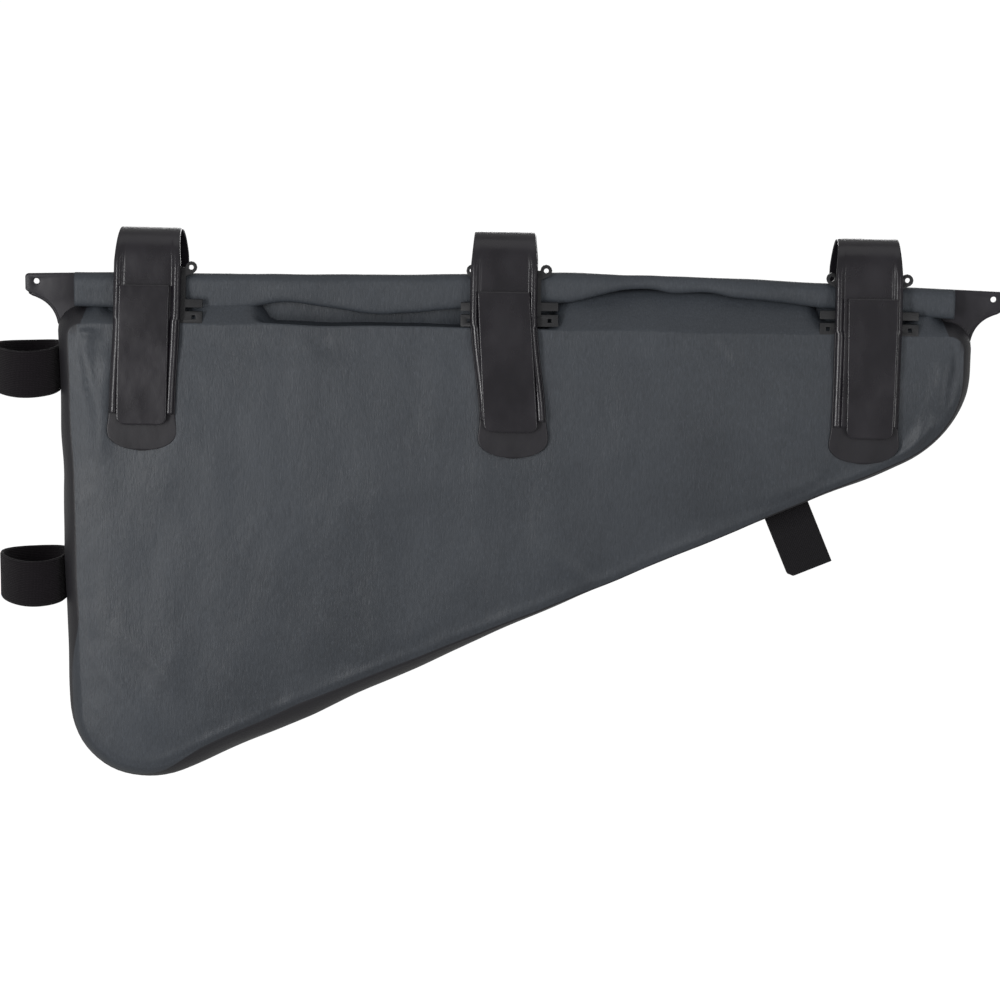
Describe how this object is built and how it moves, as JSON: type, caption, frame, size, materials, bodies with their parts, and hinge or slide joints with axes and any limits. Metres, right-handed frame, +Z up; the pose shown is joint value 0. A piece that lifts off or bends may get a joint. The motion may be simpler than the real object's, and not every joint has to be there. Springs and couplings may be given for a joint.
{
  "type": "bicycle frame bag",
  "caption": "Roll-top bicycle frame bag that hangs under the top tube from wide strap loops, with webbing loops for the seat tube and a webbing tail for the down tube.",
  "frame": {"origin": "on the axis of the top tube that the strap loops hang from, at the middle strap", "axes": "+X runs forward along the top tube, +Z up, -Y is the side with the flaps"},
  "size_m": [0.5385, 0.0576, 0.3034],
  "materials": {
    "body_fabric": "dark grey coated woven fabric, matt",
    "roll_fabric": "dark grey coated woven fabric, matt",
    "end_sheet": "black stiff coated sheet, satin",
    "strap_sheet": "black smooth coated sheet, semi-gloss",
    "clip_plastic": "black moulded plastic, satin",
    "webbing": "black woven webbing, matt"
  },
  "bodies": {
    "root": {"bag_body": "body_fabric", "roll_closure": "roll_fabric", "closure_end_rear": "end_sheet", "closure_end_front": "end_sheet", "top_strap_1": "strap_sheet", "top_strap_2": "strap_sheet", "top_strap_3": "strap_sheet", "strap_base_1": "strap_sheet", "strap_base_2": "strap_sheet", "strap_base_3": "strap_sheet", "strap_flap_1": "strap_sheet", "strap_flap_2": "strap_sheet", "strap_flap_3": "strap_sheet", "strap_clip_1": "clip_plastic", "strap_clip_2": "clip_plastic", "strap_clip_3": "clip_plastic", "seat_loop_upper": "webbing", "seat_loop_lower": "webbing", "down_strap": "webbing"}
  },
  "joints": []
}
